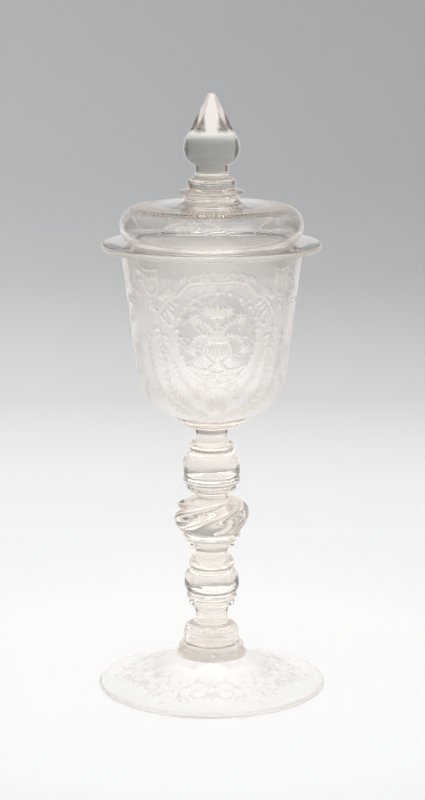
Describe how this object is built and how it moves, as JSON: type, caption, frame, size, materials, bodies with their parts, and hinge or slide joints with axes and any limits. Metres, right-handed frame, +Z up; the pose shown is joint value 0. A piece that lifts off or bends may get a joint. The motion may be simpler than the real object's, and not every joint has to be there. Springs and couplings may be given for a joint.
{
  "type": "pokal goblet",
  "caption": "Clear glass covered goblet with an engraved bucket bowl, a knopped stem with a spiral knop, a spreading foot and a lift-off domed cover with a faceted finial.",
  "frame": {"origin": "centre of the circle that the foot rests on", "axes": "+Z up along the axis of the goblet; -Y faces the viewer of the picture"},
  "size_m": [0.115, 0.115, 0.2999],
  "materials": {
    "clear_glass": "fire-polished clear glass with a faint straw tint",
    "engraved_glass": "clear blown glass, wheel-engraved with matt lines"
  },
  "bodies": {
    "goblet": {"foot": "engraved_glass", "foot_collar": "clear_glass", "foot_button": "clear_glass", "lower_neck": "clear_glass", "lower_small_merese": "clear_glass", "lower_large_merese": "clear_glass", "lower_knop": "clear_glass", "lower_ring": "clear_glass", "spiral_lower_neck": "clear_glass", "spiral_small_merese": "clear_glass", "spiral_large_merese": "clear_glass", "spiral_knop": "clear_glass", "spiral_upper_neck": "clear_glass", "upper_small_merese": "clear_glass", "upper_large_merese": "clear_glass", "upper_knop": "clear_glass", "upper_ring": "clear_glass", "upper_neck": "clear_glass", "bowl_small_merese": "clear_glass", "bowl_large_merese": "clear_glass", "bowl": "engraved_glass"},
    "cover": {"cover": "engraved_glass", "cover_boss": "clear_glass", "cover_wide_merese": "clear_glass", "cover_ring": "clear_glass", "finial": "clear_glass"}
  },
  "joints": [
    {"name": "cover_lift", "type": "slide", "parent": "goblet", "child": "cover", "axis": [0, 0, 1], "range_m": [0, 0.12]}
  ]
}
